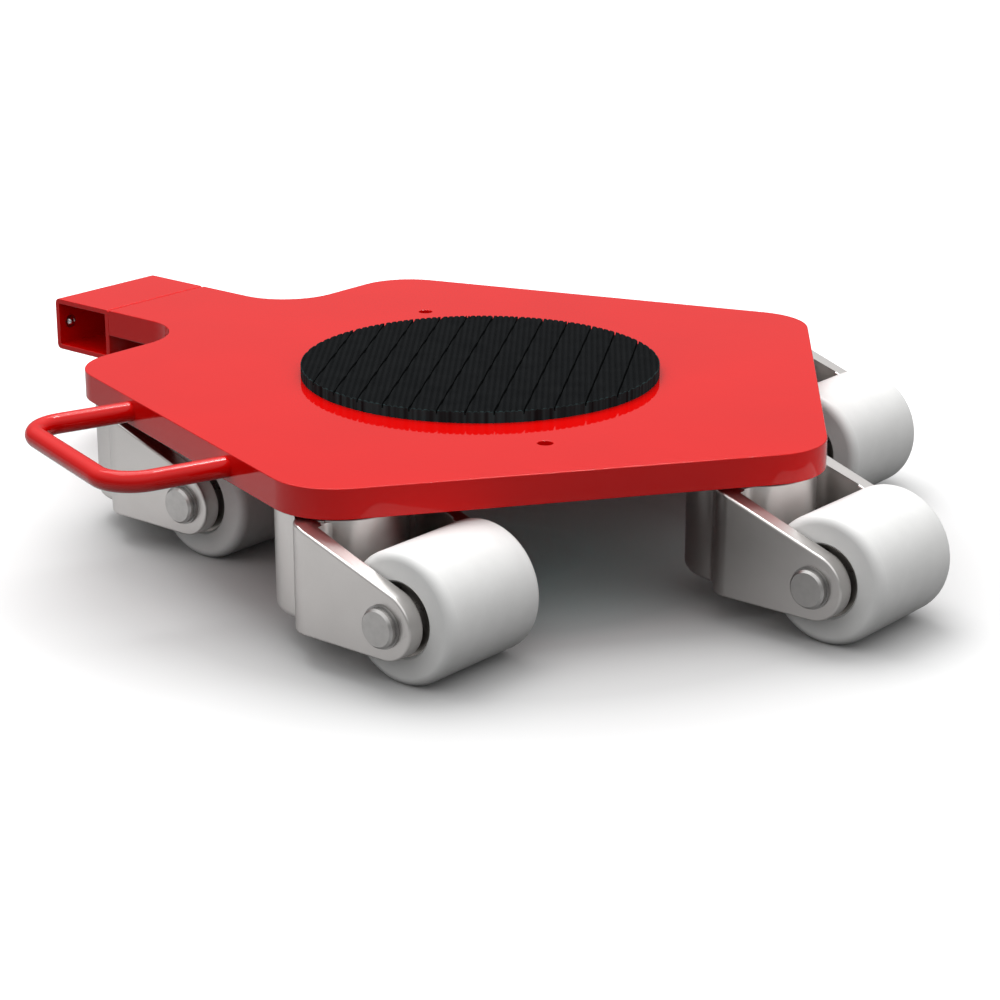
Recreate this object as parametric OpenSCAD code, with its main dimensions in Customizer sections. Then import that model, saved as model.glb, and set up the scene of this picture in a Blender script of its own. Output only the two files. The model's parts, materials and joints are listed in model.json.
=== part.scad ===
// A machine skate that steers any way: a thick five-sided deck on five swivel
// castors, with a load pad on top, a tube for a drawbar and a grab handle.
// Millimetres. The origin is on the floor, below the middle of the skate's box.

/* [Deck] */
// Radius of the circle through the deck's corners, before they are rounded
deck_r = 289; // [280:1:310]
// Thickness of the deck plate
deck_t = 20; // [16:1:25]
// Rounding of the deck's corners
corner_r = 45; // [20:1:60]
// Width of the neck that carries the drawbar tube
neck_w = 100; // [80:1:130]
// Distance from the pad's centre to the end of the neck
neck_reach = 328; // [300:1:400]
// Rounding where the neck leaves the deck
neck_fillet = 45; // [15:1:50]
// Width of the bevels that form the groove between neck and tube
seam_bevel = 1.5; // [0.5:0.1:3]
// Distance from the pad's centre to the two threaded lifting holes
lifting_r = 173; // [165:1:180]
// Core diameter of the threaded lifting holes
lifting_d = 10.2; // [8:0.1:14]

/* [Load pad] */
// Diameter of the rubber pad
pad_d = 250; // [200:1:270]
// Thickness of the rubber pad
pad_t = 8; // [6:0.5:12]
// Distance between the pad's grooves
groove_pitch = 18.85; // [12:0.05:25]
// Width of a groove at the top
groove_w = 3.5; // [2:0.1:5]
// Width of a groove at its floor
groove_floor_w = 2; // [1:0.1:3]
// Depth of a groove
groove_depth = 2.9; // [1:0.1:4]
// Direction in which the grooves run
groove_angle = -58.75; // [-90:0.25:90]

/* [Drawbar tube] */
// Outer width of the tube, along the neck
tube_w = 60; // [50:1:80]
// Outer height of the tube
tube_h = 40; // [36:1:60]
// Wall thickness of the tube
tube_wall = 4; // [3.5:0.5:6]
// Rounding of the tube's two free edges
tube_round = 4; // [1:0.5:6]

/* [Detent] */
// Diameter of the detent's domed cap
detent_cap_d = 12; // [11.5:0.5:16]
// Height of the domed cap
detent_cap_h = 4.5; // [4.2:0.1:5.5]
// Diameter of the sleeve that passes through the tube wall
detent_sleeve_d = 10; // [9.4:0.1:11]
// Diameter of the detent pin
detent_pin_d = 6.8; // [5.5:0.1:7]
// Length of the pin that stands out in the tube
detent_nose = 3; // [2:0.1:3.1]
// Distance from the tube's end to the detent
detent_inset = 11.25; // [8:0.25:40]
// Wire diameter of the detent's spring
detent_wire = 0.5; // [0.3:0.05:0.6]

/* [Grab handle] */
// Diameter of the handle's bar
bar_d = 14; // [10:1:18]
// Distance between the handle's two legs, at their middles
handle_span = 144; // [110:1:200]
// Distance from the deck's side to the middle of the handle's grip
handle_reach = 77; // [50:1:110]
// Bend radius at the middle of the bar
handle_bend = 25; // [16:1:35]

/* [Castors] */
// Distance from a deck corner, before rounding, to the castor's pivot
pivot_inset = 59; // [50:1:65]
// Distance from the pivot to the axle
trail = 85; // [82:1:88]
// Diameter of the wheels
wheel_d = 85; // [75:1:86]
// Width of the wheels
wheel_w = 85; // [70:1:88]
// Rounding of the wheels' edges
wheel_round = 6; // [2:0.5:10]
// Diameter of the hollow between a wheel's two bearings
wheel_bore = 42; // [36:1:45]
// Clear height between the wheels and the deck
deck_gap = 7; // [4:0.5:20]

/* [Bracket] */
// Thickness of a bracket's cheeks
cheek_t = 12.5; // [10:0.5:15]
// Clearance between a wheel and the cheek beside it
wheel_gap = 2; // [1.5:0.5:4]
// Radius of the cheeks' round ends
tip_r = 22; // [18:1:24]
// Distance from the pivot to the cheeks' back edges
cheek_back = 13; // [10:0.5:15]
// Length of the flat top between a cheek's back edge and its slope
cheek_flat = 2.5; // [2:0.5:5]
// Rounding of the cheeks' upper back corners
cheek_top_r = 1.5; // [0.5:0.25:1.75]
// Rounding of the cheeks' lower back corners
cheek_low_r = 5; // [2:0.5:6]
// Rounding of the cheeks' upright outer edges at the back
cheek_edge_r = 4; // [2:0.5:6]
// Outer radius of the bracket's barrel
barrel_r = 42; // [38:0.5:42]
// Height of the barrel's underside above the floor
barrel_base = 20.5; // [19:0.5:24]
// Rounding of the barrel's lower edge
barrel_round = 5; // [2:0.5:8]
// Clearance between the barrel and the deck
barrel_gap = 2; // [1:0.5:4]
// Clearance that the barrel leaves around the wheel
pocket_gap = 4.5; // [2:0.5:6]
// Thickness of the webs between barrel and cheeks
web_t = 9; // [7:0.5:12]
// Height of the webs' underside above the floor
web_base = 26; // [26:1:40]
// Rounding between the webs and the barrel
web_fillet = 5; // [3:0.5:6]

/* [Kingpin and thrust bearing] */
// Diameter of the kingpin and of the thrust bearing's bore
kingpin_d = 30; // [25:1:32]
// Depth of the kingpin's seat in the deck
kingpin_seat = 12; // [8:1:14]
// Diameter of the kingpin's threaded end
kingpin_thread_d = 20; // [16:1:22]
// Outer diameter of the thrust bearing
thrust_d = 52; // [50:1:56]
// Height of the thrust bearing
thrust_h = 16; // [15:0.5:17]
// Thickness of each of its two washers
race_t = 5; // [4.5:0.25:5.5]
// Diameter of its balls
ball_d = 8.7; // [8:0.1:9]
// Number of its balls
ball_count = 12; // [8:1:12]
// Wall thickness of the swivel bush
bush_wall = 3; // [2:0.5:4]
// Diameter of the nut's flange
flange_d = 46; // [42:1:48]
// Thickness of the nut's flange
flange_t = 4; // [3:0.5:5]
// Width of the nut across its flats
nut_af = 30; // [28:1:34]
// Height of the nut's hexagon
nut_h = 10; // [8:0.5:11]
// Play between the nut's flange and the bracket
nut_gap = 0.25; // [0.1:0.05:0.5]

/* [Axle and wheel bearings] */
// Diameter of the axle and of the wheel bearings' bores
axle_d = 25; // [20:1:25]
// Length of the axle beyond each cheek
axle_end = 6; // [4.5:0.5:8]
// Bevel on the axle's ends
axle_bevel = 1.5; // [0.5:0.5:2.5]
// Diameter of the grooves for the axle's clips
clip_groove_d = 23.5; // [18:0.5:24]
// Outer diameter of the axle's clips
clip_d = 27.5; // [27:0.5:32]
// Thickness of the axle's clips
clip_t = 1.5; // [1:0.1:2]
// Angle over which a clip is open
clip_open = 30; // [20:5:90]
// Outer diameter of the wheel bearings
bearing_d = 47; // [45:1:50]
// Width of the wheel bearings
bearing_w = 12; // [10:1:14]
// Depth of the wheel bearings behind the wheel's face
bearing_inset = 1.5; // [1:0.5:4]
// Outer diameter of the bearings' inner rings and of the spacers
inner_ring_d = 32; // [30:0.5:34]
// Inner diameter of the bearings' outer rings
outer_ring_bore = 40.5; // [39:0.5:42]
// Thickness of the bearings' shields
shield_t = 0.8; // [0.5:0.1:1]

/* [Clearances] */
// Running clearance of shafts in bushes, on the radius
run_gap = 0.05; // [0.03:0.01:0.1]
// Seating clearance of pressed pieces, on the radius
seat_gap = 0.02; // [0:0.01:0.05]
// Clearance between pieces that move past each other
air_gap = 0.3; // [0.2:0.05:0.6]

/* [Hidden] */
$fn = 96;
castors = 5;
turn = 360 / castors;
through = 1;

// Heights above the floor
axle_z = wheel_d / 2;
deck_low = wheel_d + deck_gap;
deck_top = deck_low + deck_t;
pad_top = deck_top + pad_t;
barrel_top = deck_low - barrel_gap;
thrust_floor = deck_low - thrust_h;
ball_z = deck_low - thrust_h / 2;
nut_cover = 1.75;
thread_stub = 1;
nut_seat = barrel_base + nut_h + flange_t + nut_gap + nut_cover;
shoulder_z = nut_seat - nut_gap;
thread_end = shoulder_z - flange_t - nut_h - thread_stub;
cheek_low = axle_z - tip_r;

// Plan of the deck, from the middle of the pad
side_dist = deck_r * cos(turn / 2);
pivot_r = deck_r - pivot_inset;
tube_out = -neck_reach - tube_w;
detent_y = detent_inset - neck_w / 2;
detent_z = deck_top - tube_h / 2;
handle_angle = -1.5 * turn;
handle_z = deck_top - deck_t / 2;

// Half widths of a castor, from the middle of its wheel
cheek_in = wheel_w / 2 + wheel_gap;
cheek_out = cheek_in + cheek_t;
axle_half = cheek_out + axle_end;
bearing_out = wheel_w / 2 - bearing_inset;
bearing_in = bearing_out - bearing_w;

// Slope and upper end of the straight edge along the top of a cheek
crest_x = cheek_back + cheek_flat;
cheek_slope = atan2(axle_z - barrel_top, trail - crest_x)
    + asin(tip_r / norm([trail - crest_x, axle_z - barrel_top]));
cheek_tip = [trail - tip_r * sin(cheek_slope), axle_z + tip_r * cos(cheek_slope)];

// The box around the skate, and its middle
handle_low = (side_dist + handle_reach - handle_bend) * cos(turn / 4)
    + (handle_span / 2 - handle_bend) * sin(turn / 4) + handle_bend + bar_d / 2;
mid_x = (pivot_r + trail + wheel_d / 2 + tube_out - detent_cap_h) / 2;
mid_y = (pivot_r * sin(turn) + axle_half - handle_low) / 2;

// Names of the pieces: one set for the deck, and one for each castor
DECK_NODES = ["deck_plate", "cross_tube", "grab_handle", "load_pad", "detent_body",
    "detent_pin", "detent_spring", "kingpins", "kingpin_nuts", "shaft_washers"];
CASTOR_NODES = ["bracket", "housing_washer", "ball_cage", "swivel_bush", "axle",
    "axle_clips", "axle_spacers", "inner_rings", "outer_rings", "wheel"];

// Geometry of an outline's corners, given as [x, y, radius] in anticlockwise order
function corner_at(c, i) = let (k = (i + len(c)) % len(c)) [c[k][0], c[k][1]];
function towards(a, b) = (b - a) / norm(b - a);
function way_back(c, i) = towards(corner_at(c, i), corner_at(c, i - 1));
function way_on(c, i) = towards(corner_at(c, i), corner_at(c, i + 1));
function half_angle(c, i) = acos(way_back(c, i) * way_on(c, i)) / 2;
function bulges(c, i) = cross(way_on(c, i), way_back(c, i)) > 0;
function round_middle(c, i) = corner_at(c, i)
    + towards([0, 0], way_back(c, i) + way_on(c, i)) * c[i][2] / sin(half_angle(c, i));
function straight_ends(c, i) = c[i][2] == 0
    ? [corner_at(c, i)]
    : [for (way = [way_back(c, i), way_on(c, i)]) corner_at(c, i) + way * c[i][2] / tan(half_angle(c, i))];

module corner_circles(c, bulging) {
    for (i = [0:len(c) - 1])
        if (c[i][2] > 0 && bulges(c, i) == bulging)
            translate(round_middle(c, i)) circle(r = c[i][2]);
}

module rounded_outline(c) {
    difference() {
        union() {
            polygon([for (i = [0:len(c) - 1]) each straight_ends(c, i)]);
            corner_circles(c, true);
        }
        corner_circles(c, false);
    }
}

// A ring between two radii, standing at height z
module ring(outer_r, inner_r, z, height) {
    translate([0, 0, z])
        difference() {
            cylinder(r = outer_r, h = height);
            translate([0, 0, -through]) cylinder(r = inner_r, h = height + 2 * through);
        }
}

module both_ends() {
    children();
    mirror([0, 0, 1]) children();
}

// Places a piece drawn around the pad's middle into the skate's own frame
module on_skate() {
    translate([-mid_x, -mid_y, 0]) children();
}

module at_pivot(i) {
    angle = turn * (i - 1);
    on_skate() translate([pivot_r * cos(angle), pivot_r * sin(angle), 0]) children();
}

// Turns a piece drawn upright so that its axis is castor i's axle
module at_axle(i) {
    at_pivot(i) translate([trail, 0, axle_z]) rotate([-90, 0, 0]) children();
}

module at_all_pivots() {
    for (i = [1:castors]) at_pivot(i) children();
}

// Deck plate with its neck, kingpin seats and threaded lifting holes
module deck_outline() {
    rounded_outline([
        [-neck_reach, -neck_w / 2, 0],
        [-side_dist, -neck_w / 2, neck_fillet],
        for (i = [-2:2]) [deck_r * cos(i * turn), deck_r * sin(i * turn), corner_r],
        [-side_dist, neck_w / 2, neck_fillet],
        [-neck_reach, neck_w / 2, 0]
    ]);
}

module seam_cut(x) {
    translate([x, 0, deck_top]) rotate([0, 45, 0])
        cube([seam_bevel * sqrt(2), neck_w + 2 * through, seam_bevel * sqrt(2)], center = true);
}

module deck_plate() {
    color([0.78, 0.05, 0.06]) on_skate()
        difference() {
            translate([0, 0, deck_low]) linear_extrude(deck_t) deck_outline();
            for (i = [1:castors])
                rotate(turn * (i - 1)) translate([pivot_r, 0, deck_low - through])
                    cylinder(r = kingpin_d / 2 + seat_gap, h = kingpin_seat + through);
            for (angle = [2 * turn, -turn / 2])
                rotate(angle) translate([lifting_r, 0, deck_low - through])
                    cylinder(d = lifting_d, h = deck_t + 2 * through);
            seam_cut(-neck_reach);
        }
}

// Rectangular tube across the neck's end, open at both ends
module tube_outline() {
    rounded_outline([
        [-neck_reach, deck_top - tube_h, 0],
        [-neck_reach, deck_top, 0],
        [tube_out, deck_top, tube_round],
        [tube_out, deck_top - tube_h, tube_round]
    ]);
}

module cross_tube() {
    color([0.78, 0.05, 0.06]) on_skate()
        difference() {
            translate([0, neck_w / 2, 0]) rotate([90, 0, 0]) linear_extrude(neck_w) tube_outline();
            translate([tube_out + tube_wall, -neck_w / 2 - through, deck_top - tube_h + tube_wall])
                cube([tube_w - 2 * tube_wall, neck_w + 2 * through, tube_h - 2 * tube_wall]);
            at_detent() translate([0, 0, -through])
                cylinder(r = detent_sleeve_d / 2 + seat_gap, h = tube_wall + 2 * through);
            seam_cut(-neck_reach);
        }
}

// Round bar bent to a U, with its two ends on the deck's side
module handle_leg(side) {
    corner = handle_span / 2 - handle_bend;
    translate([0, side * handle_span / 2, 0]) rotate([0, 90, 0])
        cylinder(d = bar_d, h = handle_reach - handle_bend);
    translate([handle_reach - handle_bend, side * corner, 0]) rotate(side > 0 ? 0 : -90)
        rotate_extrude(angle = 90) translate([handle_bend, 0]) circle(d = bar_d);
}

module grab_handle() {
    color([0.78, 0.05, 0.06]) on_skate()
        rotate(handle_angle) translate([side_dist, 0, handle_z]) {
            handle_leg(-1);
            handle_leg(1);
            translate([handle_reach, handle_span / 2 - handle_bend, 0]) rotate([90, 0, 0])
                cylinder(d = bar_d, h = handle_span - 2 * handle_bend);
        }
}

// Rubber pad with grooves cut right across it
module load_pad() {
    count = floor(pad_d / groove_pitch) - 1;
    color([0.13, 0.14, 0.14]) on_skate()
        difference() {
            translate([0, 0, deck_top]) cylinder(d = pad_d, h = pad_t, $fn = 180);
            rotate(groove_angle)
                for (i = [0:count - 1])
                    translate([-pad_d / 2 - through, (i - (count - 1) / 2) * groove_pitch, pad_top])
                        rotate([90, 0, 90]) linear_extrude(pad_d + 2 * through)
                            groove_outline();
        }
}

module groove_outline() {
    flare = (groove_w - groove_floor_w) / 2 / groove_depth;
    polygon([
        [-groove_floor_w / 2, -groove_depth],
        [groove_floor_w / 2, -groove_depth],
        [groove_w / 2 + flare * through, through],
        [-groove_w / 2 - flare * through, through]
    ]);
}

// Detent in the tube's outer wall: z runs from the wall's outer face into the tube
cap_sphere_r = (pow(detent_cap_d / 2, 2) + pow(detent_cap_h, 2)) / (2 * detent_cap_h);
sleeve_wall = 1;
cap_wall = 1.2;
lip_t = 1;
collar_t = 1;
end_gap = 0.1;
detent_bore_r = detent_sleeve_d / 2 - sleeve_wall;
spring_r = detent_pin_d / 2 - cap_wall;
pocket_r = spring_r + detent_wire / 2 + air_gap;
pocket_depth = detent_cap_h - cap_wall;
collar_z = tube_wall - lip_t - collar_t;
pin_travel = detent_nose;

module at_detent() {
    translate([tube_out, detent_y, detent_z]) rotate([0, 90, 0]) children();
}

module detent_body() {
    color([0.75, 0.76, 0.78]) on_skate() at_detent()
        difference() {
            union() {
                intersection() {
                    translate([0, 0, cap_sphere_r - detent_cap_h]) sphere(r = cap_sphere_r);
                    translate([0, 0, -detent_cap_h]) cylinder(d = detent_cap_d, h = detent_cap_h);
                }
                cylinder(d = detent_sleeve_d, h = tube_wall);
            }
            translate([0, 0, collar_z - pin_travel - end_gap])
                cylinder(r = detent_bore_r, h = collar_t + pin_travel + end_gap);
            translate([0, 0, -pocket_depth]) cylinder(r = pocket_r, h = pocket_depth);
            cylinder(r = detent_pin_d / 2 + run_gap, h = tube_wall + through);
        }
}

module detent_pin() {
    pin_r = detent_pin_d / 2;
    dome_z = tube_wall + detent_nose - pin_r;
    color([0.82, 0.83, 0.85]) on_skate() at_detent()
        rotate_extrude() {
            translate([0, collar_z]) square([detent_bore_r - run_gap, collar_t]);
            translate([0, collar_z]) square([pin_r, dome_z - collar_z]);
            intersection() {
                translate([0, dome_z]) circle(r = pin_r);
                translate([0, collar_z]) square([pin_r, dome_z + pin_r - collar_z]);
            }
        }
}

// Coil spring behind the pin, pressed together as it is with the pin pushed back
spring_len = pocket_depth + collar_z - pin_travel - end_gap;
spring_turns = 2;
spring_rings = 32;
spring_sides = 6;

function coil_point(step, side) =
    let (around = 360 * spring_turns * step / spring_rings)
    let (across = spring_r + detent_wire / 2 * cos(360 * side / spring_sides))
    let (climb = (spring_len - detent_wire) * step / spring_rings + detent_wire / 2)
    [across * cos(around), across * sin(around), climb + detent_wire / 2 * sin(360 * side / spring_sides)];

module detent_spring() {
    points = [for (step = [0:spring_rings]) for (side = [0:spring_sides - 1]) coil_point(step, side)];
    walls = [for (step = [0:spring_rings - 1]) for (side = [0:spring_sides - 1])
        let (a = step * spring_sides + side, b = step * spring_sides + (side + 1) % spring_sides)
        each [[a, b + spring_sides, b], [a, a + spring_sides, b + spring_sides]]];
    first = [for (side = [0:spring_sides - 1]) side];
    last = [for (side = [spring_sides - 1:-1:0]) spring_rings * spring_sides + side];
    color([0.6, 0.6, 0.62]) on_skate() at_detent() translate([0, 0, -pocket_depth])
        polyhedron(points, concat(walls, [first, last]));
}

// Kingpins, pressed into the deck from below, with their flanged nuts
module kingpins() {
    color([0.45, 0.46, 0.48]) at_all_pivots() {
        translate([0, 0, shoulder_z]) cylinder(d = kingpin_d, h = deck_low + kingpin_seat - shoulder_z);
        translate([0, 0, thread_end]) cylinder(d = kingpin_thread_d, h = shoulder_z - thread_end);
    }
}

module kingpin_nuts() {
    color([0.7, 0.7, 0.66]) at_all_pivots()
        difference() {
            union() {
                translate([0, 0, shoulder_z - flange_t]) cylinder(d = flange_d, h = flange_t);
                translate([0, 0, shoulder_z - flange_t - nut_h])
                    cylinder(r = nut_af / 2 / cos(30), h = nut_h + flange_t / 2, $fn = 6);
            }
            translate([0, 0, shoulder_z - flange_t - nut_h - through])
                cylinder(r = kingpin_thread_d / 2 + seat_gap, h = nut_h + flange_t + 2 * through);
        }
}

// Thrust bearing: a washer on the kingpin, a washer in the barrel, balls between
ball_play = 0.2;
bore_play = 1;
cage_gap = 1.5;
cage_share = 0.7;

module ball_groove() {
    rotate_extrude() translate([(kingpin_d + thrust_d) / 4, ball_z]) circle(d = ball_d + ball_play);
}

module shaft_washers() {
    color([0.6, 0.61, 0.63]) at_all_pivots()
        difference() {
            ring(thrust_d / 2 - air_gap, kingpin_d / 2 + seat_gap, deck_low - race_t, race_t);
            ball_groove();
        }
}

module housing_washer(i) {
    color([0.6, 0.61, 0.63]) at_pivot(i)
        difference() {
            ring(thrust_d / 2, kingpin_d / 2 + bore_play, thrust_floor, race_t);
            ball_groove();
        }
}

module ball_cage(i) {
    pitch_r = (kingpin_d + thrust_d) / 4;
    cage_t = thrust_h - 2 * (race_t + cage_gap);
    cage_w = cage_share * ball_d;
    color([0.72, 0.6, 0.3]) at_pivot(i) {
        ring(pitch_r + cage_w / 2, pitch_r - cage_w / 2, ball_z - cage_t / 2, cage_t);
        for (k = [1:ball_count])
            rotate(360 * k / ball_count) translate([pitch_r, 0, ball_z]) sphere(d = ball_d);
    }
}

module swivel_bush(i) {
    color([0.72, 0.55, 0.28]) at_pivot(i)
        ring(kingpin_d / 2 + run_gap + bush_wall, kingpin_d / 2 + run_gap, nut_seat, thrust_floor - nut_seat);
}

// Castor bracket: a barrel round the kingpin, two cheeks and the webs between them
barrel_top_r = 1;
nut_room = 2;
web_front = cheek_back + web_t;

module cheek_outline() {
    rounded_outline([
        [cheek_back, cheek_low, cheek_low_r],
        [trail, cheek_low, 0],
        [cheek_tip[0], cheek_tip[1], 0],
        [crest_x, barrel_top, 0],
        [cheek_back, barrel_top, cheek_top_r]
    ]);
    translate([trail, axle_z]) circle(r = tip_r);
}

module barrel() {
    rotate_extrude()
        rounded_outline([
            [0, barrel_base, 0],
            [barrel_r, barrel_base, barrel_round],
            [barrel_r, barrel_top, barrel_top_r],
            [0, barrel_top, 0]
        ]);
}

// Plan of the web towards +y, with round corners between it and the barrel
module web_plan() {
    back_x = cheek_back - web_fillet;
    back_y = sqrt(pow(barrel_r + web_fillet, 2) - pow(back_x, 2));
    front_x = web_front + web_fillet;
    front_y = sqrt(pow(barrel_r + web_fillet, 2) - pow(front_x, 2));
    difference() {
        polygon([
            [0, 0], [front_x, front_y], [web_front, front_y], [web_front, cheek_in],
            [cheek_back, cheek_in], [cheek_back, back_y], [back_x, back_y]
        ]);
        translate([front_x, front_y]) circle(r = web_fillet);
        translate([back_x, back_y]) circle(r = web_fillet);
    }
}

module web() {
    translate([0, 0, web_base]) linear_extrude(barrel_top - web_base) web_plan();
}

// Plan of the cheek towards +y, with its outer corner at the back rounded
module cheek_plan() {
    rounded_outline([
        [cheek_back, cheek_in - through, 0],
        [trail + tip_r + through, cheek_in - through, 0],
        [trail + tip_r + through, cheek_out, 0],
        [cheek_back, cheek_out, cheek_edge_r]
    ]);
}

module cheek() {
    intersection() {
        translate([0, cheek_out, 0]) rotate([90, 0, 0]) linear_extrude(cheek_t) cheek_outline();
        translate([0, 0, cheek_low - through])
            linear_extrude(barrel_top - cheek_low + 2 * through) cheek_plan();
    }
}

module bracket(i) {
    bush_r = kingpin_d / 2 + run_gap + bush_wall;
    color([0.6, 0.59, 0.57]) at_pivot(i)
        difference() {
            union() {
                barrel();
                for (side = [0, 1])
                    mirror([0, side, 0]) {
                        cheek();
                        web();
                    }
            }
            translate([0, 0, barrel_base - through])
                cylinder(r = flange_d / 2 + nut_room, h = nut_seat - barrel_base + through);
            translate([0, 0, nut_seat - through])
                cylinder(r = bush_r + seat_gap, h = thrust_floor - nut_seat + 2 * through);
            translate([0, 0, thrust_floor]) cylinder(r = thrust_d / 2 + seat_gap, h = thrust_h);
            translate([trail, cheek_out + through, axle_z]) rotate([90, 0, 0])
                cylinder(r = axle_d / 2 + seat_gap, h = 2 * (cheek_out + through));
            translate([trail, cheek_in, axle_z]) rotate([90, 0, 0])
                cylinder(r = wheel_d / 2 + pocket_gap, h = 2 * cheek_in);
        }
}

// Axle with a groove at each end for its clip
clip_play = 0.05;
clip_z = cheek_out + seat_gap + clip_play + run_gap;

module axle(i) {
    r = axle_d / 2;
    groove_in = clip_z - clip_play;
    groove_out = clip_z + clip_t + clip_play;
    color([0.66, 0.65, 0.63]) at_axle(i)
        rotate_extrude()
            polygon([
                [0, -axle_half], [r - axle_bevel, -axle_half], [r, -axle_half + axle_bevel],
                [r, -groove_out], [clip_groove_d / 2, -groove_out],
                [clip_groove_d / 2, -groove_in], [r, -groove_in],
                [r, groove_in], [clip_groove_d / 2, groove_in],
                [clip_groove_d / 2, groove_out], [r, groove_out],
                [r, axle_half - axle_bevel], [r - axle_bevel, axle_half], [0, axle_half]
            ]);
}

// Snap rings in the axle's grooves, open towards the bracket's back
module axle_clips(i) {
    color([0.2, 0.2, 0.21]) at_axle(i) both_ends()
        difference() {
            ring(clip_d / 2, clip_groove_d / 2 + seat_gap, clip_z, clip_t);
            translate([0, 0, clip_z - through])
                linear_extrude(clip_t + 2 * through)
                    polygon([
                        [0, 0],
                        clip_d * [-cos(clip_open / 2), sin(clip_open / 2)],
                        clip_d * [-cos(clip_open / 2), -sin(clip_open / 2)]
                    ]);
        }
}

// Washers beside the wheel's bearings and the tube between them
module axle_spacers(i) {
    color([0.55, 0.56, 0.58]) at_axle(i) {
        ring(inner_ring_d / 2, axle_d / 2 + run_gap, -bearing_in, 2 * bearing_in);
        both_ends() ring(inner_ring_d / 2, axle_d / 2 + run_gap, bearing_out, cheek_in - bearing_out);
    }
}

module inner_rings(i) {
    color([0.7, 0.71, 0.73]) at_axle(i) both_ends()
        ring(inner_ring_d / 2, axle_d / 2 + seat_gap, bearing_in, bearing_w);
}

// Outer rings with the shields that close the bearings on both faces
shield_lap = 0.5;

module outer_rings(i) {
    color([0.3, 0.31, 0.33]) at_axle(i) both_ends() {
        ring(bearing_d / 2, outer_ring_bore / 2, bearing_in, bearing_w);
        for (z = [bearing_in + shield_t, bearing_out - 2 * shield_t])
            ring(outer_ring_bore / 2 + shield_lap, inner_ring_d / 2 + air_gap, z, shield_t);
    }
}

// Solid plastic wheel with a seat for a bearing at each end
module wheel(i) {
    color([0.9, 0.9, 0.88]) at_axle(i)
        difference() {
            rotate_extrude($fn = 128)
                rounded_outline([
                    [0, -wheel_w / 2, 0],
                    [wheel_d / 2, -wheel_w / 2, wheel_round],
                    [wheel_d / 2, wheel_w / 2, wheel_round],
                    [0, wheel_w / 2, 0]
                ]);
            translate([0, 0, -wheel_w / 2 - through]) cylinder(d = wheel_bore, h = wheel_w + 2 * through);
            both_ends() {
                translate([0, 0, bearing_in])
                    cylinder(r = bearing_d / 2 + seat_gap, h = wheel_w / 2 - bearing_in + through);
                translate([0, 0, bearing_out])
                    cylinder(r1 = bearing_d / 2 + seat_gap, r2 = bearing_d / 2 + bearing_inset + through,
                        h = bearing_inset + through);
            }
        }
}

deck_plate();
cross_tube();
grab_handle();
load_pad();
detent_body();
detent_pin();
detent_spring();
kingpins();
kingpin_nuts();
shaft_washers();
for (i = [1:castors]) {
    bracket(i);
    housing_washer(i);
    ball_cage(i);
    swivel_bush(i);
    axle(i);
    axle_clips(i);
    axle_spacers(i);
    inner_rings(i);
    outer_rings(i);
    wheel(i);
}
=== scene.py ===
import bpy
import json
import math
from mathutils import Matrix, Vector


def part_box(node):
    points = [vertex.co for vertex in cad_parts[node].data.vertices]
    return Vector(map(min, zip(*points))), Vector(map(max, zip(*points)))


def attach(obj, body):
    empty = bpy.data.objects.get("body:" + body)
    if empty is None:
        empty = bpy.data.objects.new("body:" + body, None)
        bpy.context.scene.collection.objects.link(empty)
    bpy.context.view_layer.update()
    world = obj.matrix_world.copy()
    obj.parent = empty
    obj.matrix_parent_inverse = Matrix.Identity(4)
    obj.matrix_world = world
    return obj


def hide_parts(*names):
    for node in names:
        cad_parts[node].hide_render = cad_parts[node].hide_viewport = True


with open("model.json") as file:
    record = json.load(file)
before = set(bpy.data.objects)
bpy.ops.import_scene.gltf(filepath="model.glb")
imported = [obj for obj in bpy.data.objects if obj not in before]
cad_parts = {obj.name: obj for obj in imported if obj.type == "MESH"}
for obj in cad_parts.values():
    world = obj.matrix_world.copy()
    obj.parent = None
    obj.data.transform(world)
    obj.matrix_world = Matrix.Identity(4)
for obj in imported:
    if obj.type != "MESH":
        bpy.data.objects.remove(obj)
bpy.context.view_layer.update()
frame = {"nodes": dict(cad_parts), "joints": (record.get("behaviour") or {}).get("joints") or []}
joints = {joint["name"]: joint for joint in frame["joints"]}
castors = range(1, 6)
origin = Vector((0, 0, 0))
castorAt = {i: Vector(joints[f"swivel_turn_{i}"]["pos_m"]) for i in castors}
axleAt = {i: Vector(joints[f"wheel_spin_{i}"]["pos_m"]) for i in castors}
print("frame loaded:", len(frame["nodes"]), "nodes")

# Camera, fitted to the photo

photoView = {
    "place": (1.15789, -1.33259, 0.61020),
    "aim": (0.20846, -0.18991, 0.112),
    "lens": 94.62,
    "sensor": 36,
    "clip": (0.05, 50),
}


def addCamera():
    place, aim = Vector(photoView["place"]), Vector(photoView["aim"])
    bpy.ops.object.camera_add(location=place)
    camera = bpy.context.object
    camera.rotation_mode = "QUATERNION"
    camera.rotation_quaternion = (aim - place).to_track_quat("-Z", "Y")
    camera.data.lens = photoView["lens"]
    camera.data.sensor_width = photoView["sensor"]
    camera.data.clip_start, camera.data.clip_end = photoView["clip"]
    bpy.context.scene.camera = camera


addCamera()
print("camera placed")

# Modelling helpers. Lengths are in metres and angles in degrees.

modelling = {
    "profile": 0.5,
    "near": 0.00002,
    "weld": 0.00002,
    "copyWeld": 0.000005,
    "copyFlat": 0.4,
    "sharpFrom": 40,
    "smoothBelow": 32,
    "weight": 100,
    "facing": 0.999,
}


def dropAll():
    if bpy.context.mode != "OBJECT":
        bpy.ops.object.mode_set(mode="OBJECT")
    bpy.ops.object.select_all(action="DESELECT")


def pick(piece):
    dropAll()
    piece.select_set(True)
    bpy.context.view_layer.objects.active = piece


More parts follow.
